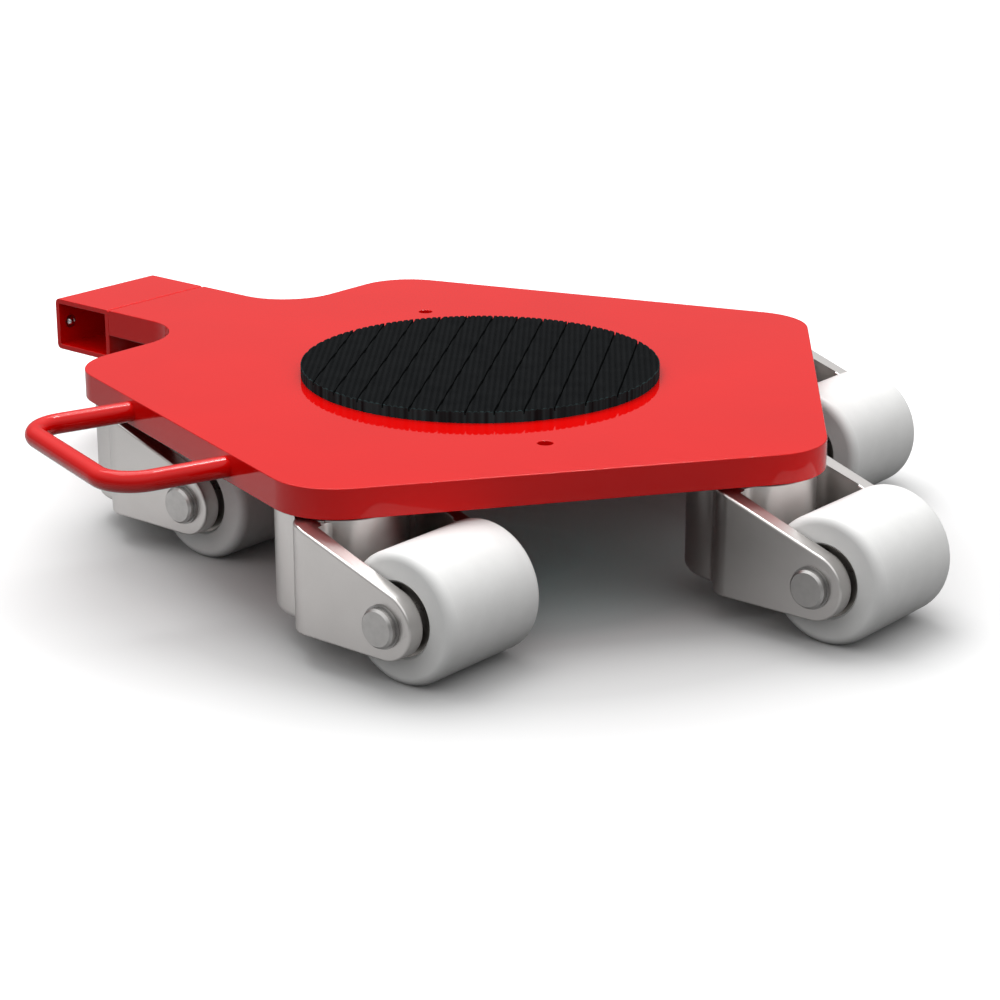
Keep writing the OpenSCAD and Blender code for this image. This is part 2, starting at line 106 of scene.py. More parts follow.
def pickMesh(piece):
    pick(piece)
    bpy.ops.object.mode_set(mode="EDIT")
    bpy.ops.mesh.select_all(action="SELECT")


def fixPlace(piece):
    pick(piece)
    bpy.ops.object.transform_apply(location=True, rotation=True, scale=True)


def dropPiece(piece):
    pick(piece)
    bpy.ops.object.delete()


def addBlock(low, high):
    middle = [(a + b) / 2 for a, b in zip(low, high)]
    lengths = [b - a for a, b in zip(low, high)]
    dropAll()
    bpy.ops.mesh.primitive_cube_add(size=1, location=middle, scale=lengths)
    block = bpy.context.object
    fixPlace(block)
    return block


def addRound(radius, low, high, center, axis="Z", sides=128):
    turns = {"Z": (0, 0, 0), "Y": (math.pi / 2, 0, 0)}
    place = list(center)
    place["XYZ".index(axis)] += (low + high) / 2
    dropAll()
    bpy.ops.mesh.primitive_cylinder_add(
        vertices=sides, radius=radius, depth=high - low, location=place, rotation=turns[axis])
    solid = bpy.context.object
    fixPlace(solid)
    return solid


def near(a, b, slack=modelling["near"]):
    return abs(a - b) < slack


def edgesAt(**places):
    def test(*ends):
        return all(near(getattr(end, axis), place)
                   for end in ends for axis, place in places.items())

    return test


def choose(piece, kind, test):
    pick(piece)
    bpy.ops.object.mode_set(mode="EDIT")
    bpy.ops.mesh.select_mode(type=kind)
    bpy.ops.mesh.select_all(action="DESELECT")
    bpy.ops.object.mode_set(mode="OBJECT")
    mesh = piece.data
    if kind == "EDGE":
        for edge in mesh.edges:
            edge.select = test(*(mesh.vertices[index].co for index in edge.vertices))
    else:
        for face in mesh.polygons:
            face.select = test(face)
    bpy.ops.object.mode_set(mode="EDIT")


def roundEdges(piece, test, offset, segments):
    choose(piece, "EDGE", test)
    bpy.ops.mesh.bevel(
        offset_type="OFFSET", offset=offset, segments=segments,
        profile=modelling["profile"], affect="EDGES")
    bpy.ops.object.mode_set(mode="OBJECT")


def cutAcross(piece, point, normal):
    pickMesh(piece)
    bpy.ops.mesh.bisect(
        plane_co=point, plane_no=Vector(normal).normalized(), use_fill=True, clear_outer=True)
    bpy.ops.object.mode_set(mode="OBJECT")


def combine(piece, tool, way):
    pick(piece)
    joiner = piece.modifiers.new("combine", "BOOLEAN")
    joiner.operation = way
    joiner.solver = "EXACT"
    joiner.object = tool
    bpy.ops.object.modifier_apply(modifier=joiner.name)
    pickMesh(piece)
    bpy.ops.mesh.remove_doubles(threshold=modelling["weld"])
    bpy.ops.object.mode_set(mode="OBJECT")
    dropPiece(tool)


def bevelSharp(piece, width, segments):
    pick(piece)
    bevel = piece.modifiers.new("edges", "BEVEL")
    bevel.width = width
    bevel.segments = segments
    bevel.limit_method = "ANGLE"
    bevel.angle_limit = math.radians(modelling["sharpFrom"])
    bpy.ops.object.modifier_apply(modifier=bevel.name)


def softShade(piece, degrees=modelling["smoothBelow"]):
    pick(piece)
    bpy.ops.object.shade_smooth_by_angle(angle=math.radians(degrees))
    leveller = piece.modifiers.new("level", "WEIGHTED_NORMAL")
    leveller.keep_sharp = True
    leveller.weight = modelling["weight"]
    bpy.ops.object.modifier_apply(modifier=leveller.name)


def repeatAcross(piece, count, pitch):
    pick(piece)
    row = piece.modifiers.new("row", "ARRAY")
    row.count = count
    row.use_relative_offset = False
    row.use_constant_offset = True
    row.constant_offset_displace = (0, pitch, 0)
    bpy.ops.object.modifier_apply(modifier=row.name)
    piece.location = (0, -(count - 1) * pitch / 2, 0)
    fixPlace(piece)


def turnAndPlace(piece, degrees, place):
    piece.rotation_euler = (0, 0, math.radians(degrees))
    piece.location = place
    fixPlace(piece)


def flipOver(piece):
    piece.scale = (1, -1, 1)
    fixPlace(piece)
    choose(piece, "FACE", lambda face: True)
    bpy.ops.mesh.normals_make_consistent(inside=False)
    bpy.ops.object.mode_set(mode="OBJECT")


def copyNode(node, name):
    piece = bpy.data.objects.new(name, frame["nodes"][node].data.copy())
    bpy.context.scene.collection.objects.link(piece)
    pickMesh(piece)
    bpy.ops.mesh.remove_doubles(threshold=modelling["copyWeld"])
    bpy.ops.mesh.dissolve_limited(angle_limit=math.radians(modelling["copyFlat"]))
    bpy.ops.object.mode_set(mode="OBJECT")
    return piece


def copyTo(piece, shift):
    twin = bpy.data.objects.new(piece.name, piece.data.copy())
    bpy.context.scene.collection.objects.link(twin)
    twin.location = shift
    fixPlace(twin)
    return twin


def dress(piece, material):
    piece.data.materials.clear()
    piece.data.materials.append(material)
    piece.data.polygons.foreach_set("material_index", [0] * len(piece.data.polygons))


def dressNode(name, material):
    node = frame["nodes"][name]
    if not node.material_slots:
        node.data.materials.append(material)
    for place in node.material_slots:
        place.material = material


def settle(piece, name, body, slot, material, *nodes):
    piece.name = name
    piece.data.name = name
    dress(piece, material)
    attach(piece, body)
    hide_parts(*nodes)


# Material helpers. A look's cloud and grain are noises: scale, detail and, if given, roughness.

texture = {"noiseLow": 0.3, "noiseHigh": 0.7, "noiseRoughness": 0.5, "ringDetail": 2.0}
mixSockets = {"FLOAT": (2, 3, 0), "RGBA": (6, 7, 2)}  # inputs A and B, and the result


def newMaterial(name):
    material = bpy.data.materials.new(name)
    material.use_nodes = True
    tree = material.node_tree
    return material, tree, tree.nodes["Principled BSDF"]


def addNode(tree, kind, **settings):
    node = tree.nodes.new(kind)
    for key, value in settings.items():
        setattr(node, key, value)
    return node


def feed(tree, value, socket):
    if isinstance(value, bpy.types.NodeSocket):
        tree.links.new(value, socket)
    else:
        socket.default_value = value


def objectPoints(tree, scale=(1, 1, 1), place=(0, 0, 0)):
    where = tree.nodes.new("ShaderNodeTexCoord")
    mapping = tree.nodes.new("ShaderNodeMapping")
    mapping.inputs["Location"].default_value = place
    mapping.inputs["Scale"].default_value = scale
    tree.links.new(where.outputs["Object"], mapping.inputs["Vector"])
    return mapping.outputs["Vector"]


def noiseAt(tree, points, scale, detail, roughness=texture["noiseRoughness"]):
    noise = tree.nodes.new("ShaderNodeTexNoise")
    noise.inputs["Scale"].default_value = scale
    noise.inputs["Detail"].default_value = detail
    noise.inputs["Roughness"].default_value = roughness
    tree.links.new(points, noise.inputs["Vector"])
    return noise.outputs["Fac"]


def ringsAt(tree, points, axis, turns, wobble):
    rings = addNode(tree, "ShaderNodeTexWave", wave_type="RINGS", rings_direction=axis)
    rings.inputs["Scale"].default_value = turns / (2 * math.pi)
    rings.inputs["Distortion"].default_value = wobble
    rings.inputs["Detail"].default_value = texture["ringDetail"]
    tree.links.new(points, rings.inputs["Vector"])
    return rings.outputs["Fac"]


def spread(tree, value, low, high, fromLow=texture["noiseLow"], fromHigh=texture["noiseHigh"]):
    ranger = tree.nodes.new("ShaderNodeMapRange")
    ranger.inputs["From Min"].default_value = fromLow
    ranger.inputs["From Max"].default_value = fromHigh
    ranger.inputs["To Min"].default_value = low
    ranger.inputs["To Max"].default_value = high
    tree.links.new(value, ranger.inputs["Value"])
    return ranger.outputs["Result"]


def calculate(tree, operation, first, second):
    step = addNode(tree, "ShaderNodeMath", operation=operation)
    tree.links.new(first, step.inputs[0])
    tree.links.new(second, step.inputs[1])
    return step.outputs[0]


def mix(tree, kind, factor, first, second):
    mixer = addNode(tree, "ShaderNodeMix", data_type=kind)
    socketA, socketB, result = mixSockets[kind]
    tree.links.new(factor, mixer.inputs[0])
    feed(tree, first, mixer.inputs[socketA])
    feed(tree, second, mixer.inputs[socketB])
    return mixer.outputs[result]


def mixColors(tree, factor, colorA, colorB):
    return mix(tree, "RGBA", factor, (*colorA, 1), (*colorB, 1))


def bumpFrom(tree, height, strength, distance):
    bump = tree.nodes.new("ShaderNodeBump")
    bump.inputs["Strength"].default_value = strength
    bump.inputs["Distance"].default_value = distance
    tree.links.new(height, bump.inputs["Height"])
    return bump.outputs["Normal"]


def linkLook(tree, shader, look, color, roughness, height):
    tree.links.new(color, shader.inputs["Base Color"])
    tree.links.new(spread(tree, roughness, *look["roughness"]), shader.inputs["Roughness"])
    bump = bumpFrom(tree, height, look["bump"], look["bumpDepth"])
    tree.links.new(bump, shader.inputs["Normal"])


# Red gloss paint on the deck, tube and handle

paintLook = {
    "colors": ((0.66, 0.002, 0.0015), (0.62, 0.0018, 0.0014)),
    "cloud": (9.0, 4.0),
    "peel": (420.0, 2.0),
    "roughness": (0.03, 0.06),
    "specular": 0.27,
    "bump": 0.12,
    "bumpDepth": 0.00002,
}


def makeRedPaint():
    material, tree, shader = newMaterial("redPaint")
    points = objectPoints(tree)
    cloud = noiseAt(tree, points, *paintLook["cloud"])
    peel = noiseAt(tree, points, *paintLook["peel"])
    color = mixColors(tree, spread(tree, cloud, 0, 1), *paintLook["colors"])
    linkLook(tree, shader, paintLook, color, cloud, peel)
    shader.inputs["Specular IOR Level"].default_value = paintLook["specular"]
    return material


# Black rubber of the load pad, ridged on the rim, and paler there by painted light

rubberLook = {
    "colors": ((0.0052, 0.0058, 0.0064), (0.0075, 0.0082, 0.0088)),
    # painted light: the rim's paler, bluer colours lift its shade and cancel the red bounce from
    # the deck
    "rimPaintedLightColors": ((0.0075, 0.0082, 0.0088), (0.027, 0.052, 0.054)),
    "rimFrom": (0.1242, 0.1247),
    "cloud": (60.0, 5.0),
    "grain": (1600.0, 2.0),
    "ridges": (260.0, 1.0),
    "roughness": (0.75, 0.9),
    "specular": 0.02,
    "bump": 0.4,
    "bumpDepth": 0.00005,
}


def makeRubber(center):
    material, tree, shader = newMaterial("padRubber")
    place = (-center[0], -center[1], 0)
    points = objectPoints(tree, place=place)
    flat = objectPoints(tree, (1, 1, 0), place)
    away = addNode(tree, "ShaderNodeVectorMath", operation="LENGTH")
    tree.links.new(flat, away.inputs[0])
    cloud = noiseAt(tree, points, *rubberLook["cloud"])
    grain = noiseAt(tree, points, *rubberLook["grain"])
    ridges = noiseAt(tree, flat, *rubberLook["ridges"])
    top = mixColors(tree, spread(tree, cloud, 0, 1), *rubberLook["colors"])
    # the ridges are real; the rim's paler colour is painted light
    rim = mixColors(tree, spread(tree, ridges, 0, 1), *rubberLook["rimPaintedLightColors"])
    onRim = spread(tree, away.outputs["Value"], 0, 1, *rubberLook["rimFrom"])
    linkLook(tree, shader, rubberLook, mix(tree, "RGBA", onRim, top, rim), grain, grain)
    shader.inputs["Specular IOR Level"].default_value = rubberLook["specular"]
    return material


# Satin nickel over the cast brackets

castLook = {
    "colors": ((0.63, 0.61, 0.595), (0.60, 0.58, 0.565)),
    "cloud": (35.0, 5.0),
    "grain": (700.0, 3.0, 0.6),
    "roughness": (0.29, 0.34),
    "metallic": 1.0,
    "bump": 0.1,
    "bumpDepth": 0.00001,
}


def makeSatinCasting():
    material, tree, shader = newMaterial("satinCasting")
    points = objectPoints(tree)
    cloud = noiseAt(tree, points, *castLook["cloud"])
    grain = noiseAt(tree, points, *castLook["grain"])
    color = mixColors(tree, spread(tree, cloud, 0, 1), *castLook["colors"])
    linkLook(tree, shader, castLook, color, grain, grain)
    shader.inputs["Metallic"].default_value = castLook["metallic"]
    return material


# Turned and ground steel, brass and bronze, with fine rings about one axis

turnedLook = {
    "cloud": (160.0, 4.0),
    "darker": 0.88,
    "wobble": 0.6,
    "metallic": 1.0,
    "bump": 0.3,
}

metalLooks = {
    "axleSteel": {
        "color": (0.50, 0.49, 0.48), "roughness": (0.28, 0.36), "rings": 3800.0,
        "bumpDepth": 0.00001},
    "brightSteel": {
        "color": (0.62, 0.62, 0.63), "roughness": (0.1, 0.2), "rings": 5200.0,
        "bumpDepth": 0.000004},
    "machinedSteel": {
        "color": (0.42, 0.42, 0.43), "roughness": (0.25, 0.38), "rings": 2600.0,
        "bumpDepth": 0.00001},
    "platedSteel": {
        "color": (0.55, 0.54, 0.49), "roughness": (0.25, 0.4), "rings": 1800.0,
        "bumpDepth": 0.00001},
    "bearingSteel": {
        "color": (0.48, 0.48, 0.49), "roughness": (0.14, 0.24), "rings": 4200.0,
        "bumpDepth": 0.000006},
    "clipSteel": {
        "color": (0.36, 0.355, 0.35), "roughness": (0.3, 0.45), "rings": 1500.0,
        "bumpDepth": 0.00001},
    "bearingShield": {
        "color": (0.36, 0.34, 0.32), "roughness": (0.25, 0.4), "rings": 3000.0,
        "bumpDepth": 0.00001},
    "bearingBrass": {
        "color": (0.56, 0.40, 0.14), "roughness": (0.2, 0.34), "rings": 2400.0,
        "bumpDepth": 0.00001},
    "bushBronze": {
        "color": (0.42, 0.24, 0.10), "roughness": (0.3, 0.45), "rings": 2400.0,
        "bumpDepth": 0.00001},
}


def makeTurnedMetal(name, axis, center):
    look = {**turnedLook, **metalLooks[name]}
    material, tree, shader = newMaterial(name)
    points = objectPoints(tree, place=(-center[0], -center[1], -center[2]))
    rings = ringsAt(tree, points, axis, look["rings"], look["wobble"])
    cloud = noiseAt(tree, points, *look["cloud"])
    darker = tuple(value * look["darker"] for value in look["color"])
    color = mixColors(tree, spread(tree, cloud, 0, 1), look["color"], darker)
    linkLook(tree, shader, look, color, cloud, rings)
    shader.inputs["Metallic"].default_value = look["metallic"]
    return material


# White nylon of the wheels, with the fine marks of the lathe

nylonLook = {
    "colors": ((0.86, 0.86, 0.85), (0.82, 0.82, 0.81)),
    "cloud": (70.0, 4.0),
    "rings": 2600.0,
    "wobble": 0.8,
    "roughness": (0.34, 0.44),
    "specular": 0.4,
    "bump": 0.2,
    "bumpDepth": 0.00001,
}


def makeNylon(center):
    material, tree, shader = newMaterial("whiteNylon")
    points = objectPoints(tree, place=(-center[0], -center[1], -center[2]))
    rings = ringsAt(tree, points, "SPHERICAL", nylonLook["rings"], nylonLook["wobble"])
    cloud = noiseAt(tree, points, *nylonLook["cloud"])
    color = mixColors(tree, spread(tree, cloud, 0, 1), *nylonLook["colors"])
    linkLook(tree, shader, nylonLook, color, cloud, rings)
    shader.inputs["Specular IOR Level"].default_value = nylonLook["specular"]
    return material


redPaint = makeRedPaint()
rubber = makeRubber((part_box("load_pad")[0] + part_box("load_pad")[1]) / 2)
satinCasting = makeSatinCasting()
print("materials made")

# Deck plate, drawbar tube and grab handle

plateLook = {"edge": 0.0007, "segments": 3}


def makePlates():
    for node, name in (("deck_plate", "deckPlate"), ("cross_tube", "drawbarTube")):
        piece = copyNode(node, name)
        bevelSharp(piece, plateLook["edge"], plateLook["segments"])
        softShade(piece)
        settle(piece, name, "root", "red_paint", redPaint, node)


makePlates()
dressNode("grab_handle", redPaint)
print("plates made")

# Load pad: V cuts that leave fine ribs, and deep grooves across them

padLook = {
    "radius": 0.125,
    "sides": 192,
    "edge": 0.0005,
    "edgeSegments": 2,
    "past": 0.002,  # how far the cutting tools reach beyond the rim
    "grooves": 12,
    "groovePitch": 0.01885,
    "grooveWide": 0.0015,
    "grooveNarrow": 0.0009,
    "grooveDepth": 0.0029,
    "grooveOver": 0.0008,
    "grooveTurn": -58.75,
    "cuts": 61,
    "cutPitch": 0.0041,
    "cutSide": 0.0017,
    "cutFlat": 0.8,
    "cutTurn": -52.2,
    "smoothBelow": 12,
}


def makeRibCuts():
    v = padLook
    reach, half = v["radius"] + v["past"], v["cutSide"] / 2
    cuts = addBlock((-reach, -half, -half), (reach, half, half))
    cuts.rotation_euler = (math.pi / 4, 0, 0)
    fixPlace(cuts)
    cuts.scale = (1, 1, v["cutFlat"])
    fixPlace(cuts)
    repeatAcross(cuts, v["cuts"], v["cutPitch"])
    return cuts


def makeGrooves():
    v = padLook
    reach, half = v["radius"] + v["past"], v["grooveWide"] / 2
    grooves = addBlock((-reach, -half, -v["grooveDepth"]), (reach, half, v["grooveOver"]))
    choose(grooves, "FACE", lambda face: -face.normal.z > modelling["facing"])
    bpy.ops.transform.resize(value=(1, v["grooveNarrow"] / v["grooveWide"], 1))
    bpy.ops.object.mode_set(mode="OBJECT")
    repeatAcross(grooves, v["grooves"], v["groovePitch"])
    return grooves


def makePad():
    v = padLook
    low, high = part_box("load_pad")
    center = ((low[0] + high[0]) / 2, (low[1] + high[1]) / 2, 0)
    onTop = (center[0], center[1], high[2])
    pad = addRound(v["radius"], low[2], high[2], center, sides=v["sides"])
    roundEdges(pad, edgesAt(z=high[2]), v["edge"], v["edgeSegments"])
    for tool, turn in ((makeRibCuts(), v["cutTurn"]), (makeGrooves(), v["grooveTurn"])):
        turnAndPlace(tool, turn, onTop)
        combine(pad, tool, "DIFFERENCE")
    softShade(pad, v["smoothBelow"])
    settle(pad, "loadPad", "root", "pad_rubber", rubber, "load_pad")


makePad()
print("load pad made")

# Castor brackets: one is modelled about its own kingpin, and copied to the five castors

bracketLook = {
    "trail": 0.085,
    "axleHeight": 0.0425,
    "low": 0.0205,
    "top": 0.090,
    "barrel": 0.042,
    "barrelSides": 144,
    "barrelRound": 0.005,
    "barrelSegments": 6,
    "shoulder": 0.001,
    "shoulderSegments": 2,
    "cheekFrom": 0.02,
    "inside": 0.0445,
    "cheek": 0.0125,
    "crest": 0.0155,
    "tip": 0.022,
    "tipLowSegments": 28,
    "tipTopSegments": 22,
    "bendEnd": 0.0212,
    "bend": 0.0193,
    "bendSegments": 14,
    "shy": 0.00001,  # keeps a bevel short of the whole edge
    "webFront": 0.022,
    "webRound": 0.008,
    "frontFrom": 0.02,
    "frontLap": 0.002,
    "frontDrop": 0.0012,
    "blend": 0.008,
    "blendRise": 0.8,  # of the barrel's round, where the blend starts
    "blendLow": (-0.006, 0.005),
    "blendHigh": (0.021, 0.052),
    "blendSides": 64,
    "bite": 0.00004,  # lets a blend cross the faces that it would only touch
    "step": 0.0001,  # keeps the flat faces of joined solids apart
    "rim": 0.0015,
    "rimSegments": 4,
    "tipSag": 0.0005,  # the bevels at the tip stay within a true circle
    "tipSlack": 0.00003,
    "bendSlack": 0.00008,
    "bendClear": 0.001,
    "webClear": 0.0005,
    "uprightBelow": 0.0001,
    "toolLong": 0.2,
    "toolHigh": 0.1,
    "pocket": 0.047,
    "pocketSides": 160,
    "axle": 0.01252,
    "axleReach": 0.07,
    "axleSides": 96,
    "nutRoom": 0.025,
    "nutSeat": 0.0365,
    "bush": 0.01807,
    "bushSpan": (0.03, 0.08),
    "thrust": 0.02602,
    "thrustSeat": 0.076,
}


def cheekSlope():
    v = bracketLook
    run, drop = v["trail"] - v["crest"], v["top"] - v["axleHeight"]
    return math.atan2(-drop, run) + math.asin(v["tip"] / math.hypot(run, drop))


def bendCenter():
    v = bracketLook
    return Vector((v["bendEnd"], v["inside"] + v["cheek"] - v["bend"], 0))


# Tells the edges of the cheeks' outer and inner borders, which get a rounded rim
def onCheekRim(a, b):
    v = bracketLook
    slope, center = cheekSlope(), bendCenter()

    def onBorder(p):
        fromAxle = math.hypot(p.x - v["trail"], p.z - v["axleHeight"])
        overSlope = (p.z - v["top"]) * math.cos(slope) - (p.x - v["crest"]) * math.sin(slope)
        atTip = v["tip"] - v["tipSag"] < fromAxle < v["tip"] + v["tipSlack"]
        onTip = p.x > v["trail"] and atTip
        return near(p.z, v["low"]) or near(p.z, v["top"]) or near(overSlope, 0) or onTip

    def onWall(p):
        atBend = p.x < center.x and abs(p.y) > center.y + v["bendClear"]
        fromBend = math.hypot(p.x - center.x, abs(p.y) - center.y)
        onBend = atBend and near(fromBend, v["bend"], v["bendSlack"])
        return onBend or near(abs(p.y), v["inside"] + v["cheek"])

    def onInside(p):
        return near(abs(p.y), v["inside"]) and p.x > v["webFront"] + v["webClear"]

    sideways = math.hypot(a.x - b.x, a.y - b.y)
    upright = sideways < v["uprightBelow"] and a.x < v["trail"]
    if upright or not (onBorder(a) and onBorder(b) and onBorder((a + b) / 2)):
        return False
    return (onWall(a) and onWall(b)) or (onInside(a) and onInside(b))


def makeCheek():
    v = bracketLook
    outside = v["inside"] + v["cheek"]
    backX, tipEnd = v["bendEnd"] - v["bend"], v["trail"] + v["tip"]
    cheek = addBlock((backX, v["cheekFrom"], v["low"]), (tipEnd, outside, v["top"]))
    roundEdges(cheek, edgesAt(x=backX, y=outside), v["bend"], v["bendSegments"])
    slope = cheekSlope()
    cutAcross(cheek, (v["crest"], 0, v["top"]), (-math.sin(slope), 0, math.cos(slope)))
    tipTop = v["top"] + math.tan(slope) * (tipEnd - v["crest"])
    tipTangent = v["tip"] * math.tan((math.pi / 2 + slope) / 2)
    lowEdge, topEdge = edgesAt(x=tipEnd, z=v["low"]), edgesAt(x=tipEnd, z=tipTop)
    roundEdges(cheek, lowEdge, v["tip"] - v["shy"], v["tipLowSegments"])
    roundEdges(cheek, topEdge, tipTangent - v["shy"], v["tipTopSegments"])
    room = addBlock((v["webFront"], 0, 0), (v["toolLong"], v["inside"], v["toolHigh"]))
    combine(cheek, room, "DIFFERENCE")
    return cheek


# The hollow corner between the barrel and the bend at a cheek's back
def makeBackBlend():
    v = bracketLook
    bend = bendCenter()
    fromBarrel = v["barrel"] + v["blend"] - v["bite"]
    fromBend = v["bend"] + v["blend"] - v["bite"]
    along = (fromBarrel ** 2 - fromBend ** 2 + bend.length_squared) / (2 * bend.length)
    away = math.sqrt(fromBarrel ** 2 - along ** 2)
    way = bend.normalized()
    hollow = along * way + away * Vector((-way.y, way.x, 0))
    side = hollow - bend
    startHeight = Vector((0, 0, v["low"] + v["blendRise"] * v["barrelRound"]))
    endHeight = Vector((0, 0, v["low"] + 4 * v["step"]))
    start = hollow * v["barrel"] / hollow.length + startHeight
    end = bend + side * v["bend"] / side.length + endHeight
    under = (end - start).cross(Vector((start.y - end.y, end.x - start.x, 0)))
    low, high = v["low"] + 2 * v["step"], v["top"] - 4 * v["step"]
    blend = addBlock((*v["blendLow"], low), (*v["blendHigh"], high))
    cutAcross(blend, origin, (-hollow.y, hollow.x, 0))
    cutAcross(blend, bend, (side.y, -side.x, 0))
    cutAcross(blend, start, -under if under.z > 0 else under)
    tool = addRound(v["blend"], 0, v["toolHigh"], hollow, sides=v["blendSides"])
    combine(blend, tool, "DIFFERENCE")
    return blend


# The hollow corner between the barrel and the web's front
def makeFrontBlend():
    v = bracketLook
    x = v["webFront"] + v["webRound"]
    y = math.sqrt((v["barrel"] + v["webRound"] - v["bite"]) ** 2 - x ** 2)
    low, high = v["low"] + 2 * v["step"], v["top"] - v["frontDrop"]
    blend = addBlock((v["webFront"] - v["frontLap"], v["frontFrom"], low), (x, y, high))
    cutAcross(blend, origin, (y, -x, 0))
    tool = addRound(v["webRound"], 0, v["toolHigh"], (x, y, 0), sides=v["blendSides"])
    combine(blend, tool, "DIFFERENCE")
    return blend


def makeBracket():
    v = bracketLook
    low, top = v["low"] + v["step"], v["top"] - v["step"]
    bracket = addRound(v["barrel"], low, top, origin, sides=v["barrelSides"])
    roundEdges(bracket, edgesAt(z=low), v["barrelRound"], v["barrelSegments"])
    roundEdges(bracket, edgesAt(z=top), v["shoulder"], v["shoulderSegments"])
    for flip in (False, True):
        for make in (makeCheek, makeBackBlend, makeFrontBlend):
            piece = make()
            if flip:
                flipOver(piece)
            combine(bracket, piece, "UNION")
    onAxle = (v["trail"], 0, v["axleHeight"])
    for tool in (
            addRound(v["pocket"], -v["inside"], v["inside"], onAxle, "Y", v["pocketSides"]),
            addRound(v["axle"], -v["axleReach"], v["axleReach"], onAxle, "Y", v["axleSides"]),
            addRound(v["nutRoom"], 0, v["nutSeat"], origin),
            addRound(v["bush"], *v["bushSpan"], origin),
            addRound(v["thrust"], v["thrustSeat"], v["toolHigh"], origin)):
        combine(bracket, tool, "DIFFERENCE")
    roundEdges(bracket, onCheekRim, v["rim"], v["rimSegments"])
    softShade(bracket)
    return bracket


def makeBrackets():
    first = makeBracket()
    first.location = (castorAt[1].x, castorAt[1].y, 0)
    fixPlace(first)
    for i in castors:
        twin = copyTo(first, castorAt[i] - castorAt[1])
        name, node = f"castorBracket_{i}", f"bracket_{i}"
        settle(twin, name, f"swivel_{i}", "satin_casting", satinCasting, node)
    dropPiece(first)


makeBrackets()
print("brackets made")

# Wheels: solid white nylon, bored for a bearing at each end

wheelLook = {
    "radius": 0.0425,
    "width": 0.085,
    "sides": 160,
    "round": 0.006,
    "roundSegments": 10,
    "mouth": 0.025,
    "seat": 0.02352,
    "inset": 0.0015,
    "bearing": 0.012,
    "bore": 0.021,
    "capCorners": 20,
}


def insetTo(before, after):
    bpy.ops.mesh.inset(thickness=before - after, depth=0)


def pushIn(before, after, depth):
    bpy.ops.mesh.extrude_region_move(TRANSFORM_OT_translate={"value": (0, depth, 0)})
    share = after / before
    bpy.ops.transform.resize(value=(share, 1, share))


def makeWheel():
    v = wheelLook
    half = v["width"] / 2
    wheel = addRound(v["radius"], -half, half, origin, "Y", v["sides"])
    for end in (-half, half):
        roundEdges(wheel, edgesAt(y=end), v["round"], v["roundSegments"])

    def isCap(face, facing):
        return facing > modelling["facing"] and len(face.vertices) > v["capCorners"]

    for way in (-1, 1):
        choose(wheel, "FACE", lambda face: isCap(face, face.normal.y * way))
        insetTo(v["radius"] - v["round"], v["mouth"])
        pushIn(v["mouth"], v["seat"], -way * v["inset"])
        pushIn(v["seat"], v["seat"], -way * v["bearing"])
        insetTo(v["seat"], v["bore"])
        bpy.ops.object.mode_set(mode="OBJECT")
    choose(wheel, "FACE", lambda face: isCap(face, abs(face.normal.y)))
    bpy.ops.mesh.bridge_edge_loops()
    bpy.ops.object.mode_set(mode="OBJECT")
    softShade(wheel)
    return wheel


def makeWheels():
    first = makeWheel()
    first.location = axleAt[1]
    fixPlace(first)
    for i in castors:
        twin = copyTo(first, axleAt[i] - axleAt[1])
        name, node = f"castorWheel_{i}", f"wheel_{i}"
        settle(twin, name, f"roller_{i}", "white_nylon", makeNylon(axleAt[i]), node)
    dropPiece(first)


makeWheels()
print("wheels made")

# Machined pieces keep their solids, and get turned metal

detentNodes = ("detent_body", "detent_pin", "detent_spring")
deckMetals = {
    "kingpins": "machinedSteel",
    "kingpin_nuts": "platedSteel",
    "shaft_washers": "bearingSteel",
}
swivelMetals = {
    "housing_washer": "bearingSteel",
    "ball_cage": "bearingBrass",
    "swivel_bush": "bushBronze",
}
axleMetals = {
    "axle": "axleSteel",
    "axle_clips": "clipSteel",
    "axle_spacers": "machinedSteel",
    "inner_rings": "bearingSteel",
    "outer_rings": "bearingShield",
}


def dressMachined():
    detentCenter = (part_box("detent_body")[0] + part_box("detent_body")[1]) / 2
    brightSteel = makeTurnedMetal("brightSteel", "X", detentCenter)
    for node in detentNodes:
        dressNode(node, brightSteel)
    for node, metal in deckMetals.items():
        dressNode(node, makeTurnedMetal(metal, "Z", origin))
    for i in castors:
        for node, metal in swivelMetals.items():
            dressNode(f"{node}_{i}", makeTurnedMetal(metal, "Z", castorAt[i]))
        for node, metal in axleMetals.items():
            dressNode(f"{node}_{i}", makeTurnedMetal(metal, "Y", axleAt[i]))


dressMachined()
print("machined pieces dressed")

# Studio: pale floor, pale sky, a soft lamp, and a small one for the highlights

studio = {
    "floorSize": 30.0,
    "floorRoughness": 0.9,
    "floorSpecular": 0.0,
    # painted shadow: the floor the camera sees is darkened about the skate, and tinted near it
    # to cancel the red bounce
    "paintedShadowPlace": (0.07, -0.02, 0.0),
    "paintedShadowInner": (0.93, 0.57, 0.06, 0.15),
    "paintedShadowOuter": (0.0, 0.36, 0.26, 0.44),
    "paintedShadowTint": (0.7, 1.0, 1.0),
    "paintedShadowTintFrom": (0.05, 0.17),
    # painted reflection: in gloss the floor shows a bright patch to the front left and darker
    # grey beyond it
    "paintedReflectionGreys": (0.56, 0.34),
    "paintedReflectionPlace": (-0.16, -0.38, 0.0),
    "paintedReflectionFrom": (0.12, 0.42),
    "floorBounce": 0.08,
    "skyLow": 0.12,
    "skyHigh": 1.6,
    "skySeen": 1.0,
    "mirrorSteps": ((0.0, 0.2), (0.32, 0.36), (0.72, 1.3)),
    "lamp": {"place": (-0.9, 0.5, 2.6), "size": 2.2, "power": 45.0},
    "glint": {"place": (-0.25, 1.3, 2.75), "size": 0.5, "power": 20.0},
}


